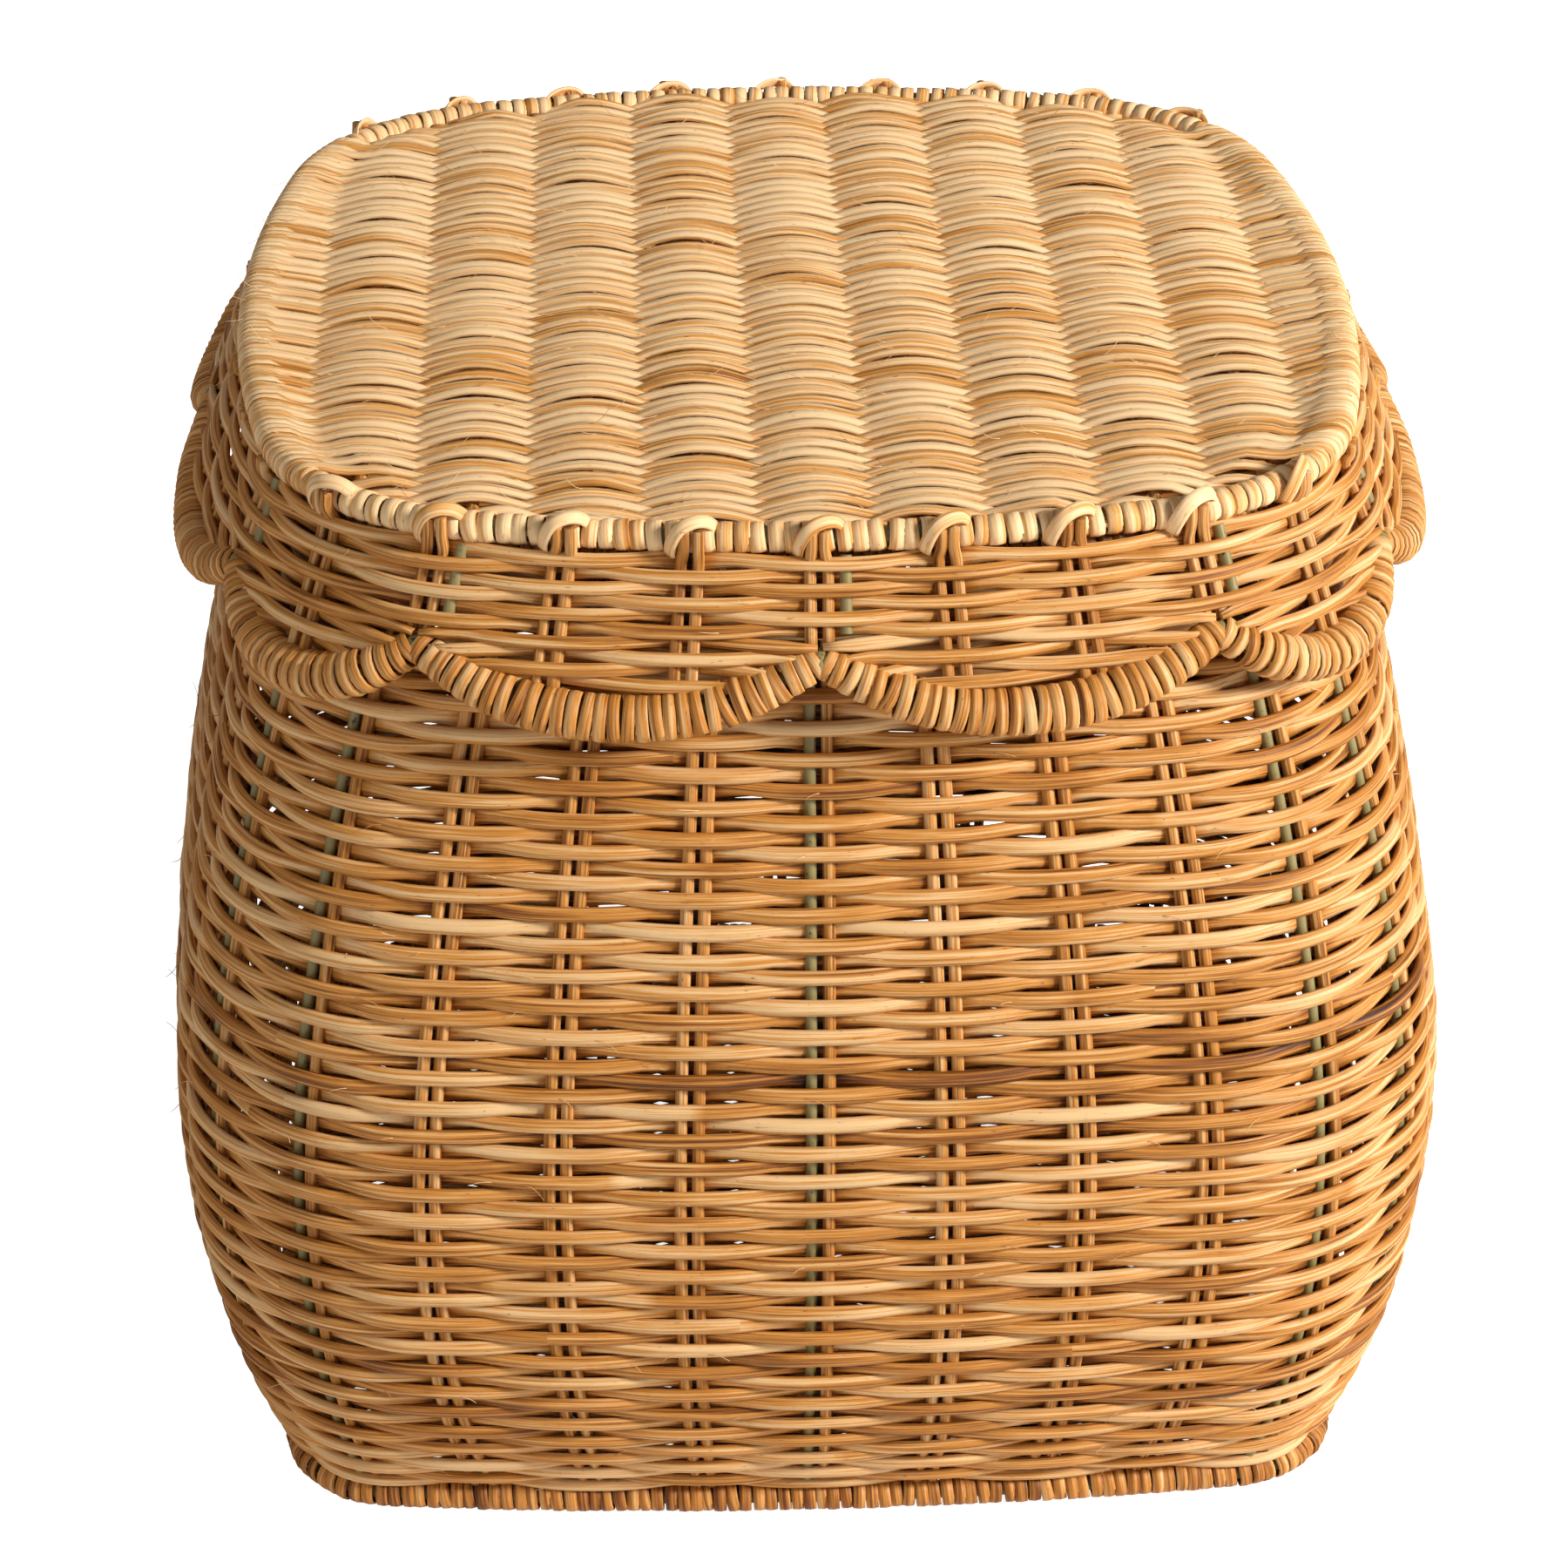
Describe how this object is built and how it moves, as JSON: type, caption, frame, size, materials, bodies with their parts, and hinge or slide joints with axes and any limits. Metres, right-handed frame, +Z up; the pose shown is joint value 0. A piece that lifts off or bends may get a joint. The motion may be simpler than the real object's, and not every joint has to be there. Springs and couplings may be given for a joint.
{
  "type": "laundry hamper",
  "caption": "Bulging square rattan laundry hamper on a steel rod frame, with a lift-off woven lid and a scalloped skirt.",
  "frame": {"origin": "middle of the base, on the surface the hamper stands on", "axes": "+Z up, front faces -Y, the lid's ribs run along Y"},
  "size_m": [0.4804, 0.4804, 0.4146],
  "materials": {
    "weaver_cane": "natural honey rattan, satin",
    "stake_cane": "natural rattan stakes, satin",
    "panel_cane": "pale peeled rattan, satin",
    "wrap_cane": "flat rattan wrapping, satin",
    "painted_steel": "olive khaki paint, semi-gloss"
  },
  "bodies": {
    "hamper": {"base_binding": "wrap_cane", "base_rib_1": "stake_cane", "base_rib_2": "stake_cane", "base_rib_3": "stake_cane", "base_rib_4": "stake_cane", "base_rib_5": "stake_cane", "base_rib_6": "stake_cane", "base_rib_7": "stake_cane", "base_rib_8": "stake_cane", "base_rib_9": "stake_cane", "base_ring": "painted_steel", "base_weave": "panel_cane", "mouth_binding": "wrap_cane", "mouth_ring": "painted_steel", "wall_rods_back": "painted_steel", "wall_rods_front": "painted_steel", "wall_rods_left": "painted_steel", "wall_rods_right": "painted_steel", "wall_stakes_back": "stake_cane", "wall_stakes_front": "stake_cane", "wall_stakes_left": "stake_cane", "wall_stakes_right": "stake_cane", "wall_weave_1": "weaver_cane", "wall_weave_2": "weaver_cane", "wall_weave_3": "weaver_cane", "wall_weave_4": "weaver_cane", "wall_weave_5": "weaver_cane", "wall_weave_6": "weaver_cane", "wall_weave_7": "weaver_cane"},
    "lid": {"drop_rods": "painted_steel", "lid_binding": "wrap_cane", "lid_loops": "wrap_cane", "lid_rib_1": "stake_cane", "lid_rib_2": "stake_cane", "lid_rib_3": "stake_cane", "lid_rib_4": "stake_cane", "lid_rib_5": "stake_cane", "lid_rib_6": "stake_cane", "lid_rib_7": "stake_cane", "lid_rib_8": "stake_cane", "lid_rib_9": "stake_cane", "lid_ring": "painted_steel", "lid_top_weave": "panel_cane", "scallop_binding_1": "wrap_cane", "scallop_binding_10": "wrap_cane", "scallop_binding_11": "wrap_cane", "scallop_binding_12": "wrap_cane", "scallop_binding_2": "wrap_cane", "scallop_binding_3": "wrap_cane", "scallop_binding_4": "wrap_cane", "scallop_binding_5": "wrap_cane", "scallop_binding_6": "wrap_cane", "scallop_binding_7": "wrap_cane", "scallop_binding_8": "wrap_cane", "scallop_binding_9": "wrap_cane", "scallop_weave": "weaver_cane", "scallop_wires": "painted_steel", "skirt_stakes": "stake_cane", "skirt_weave": "weaver_cane"}
  },
  "joints": [
    {"name": "lid_lift", "type": "slide", "parent": "hamper", "child": "lid", "axis": [0, 0, 1], "range_m": [0, 0.15]}
  ]
}
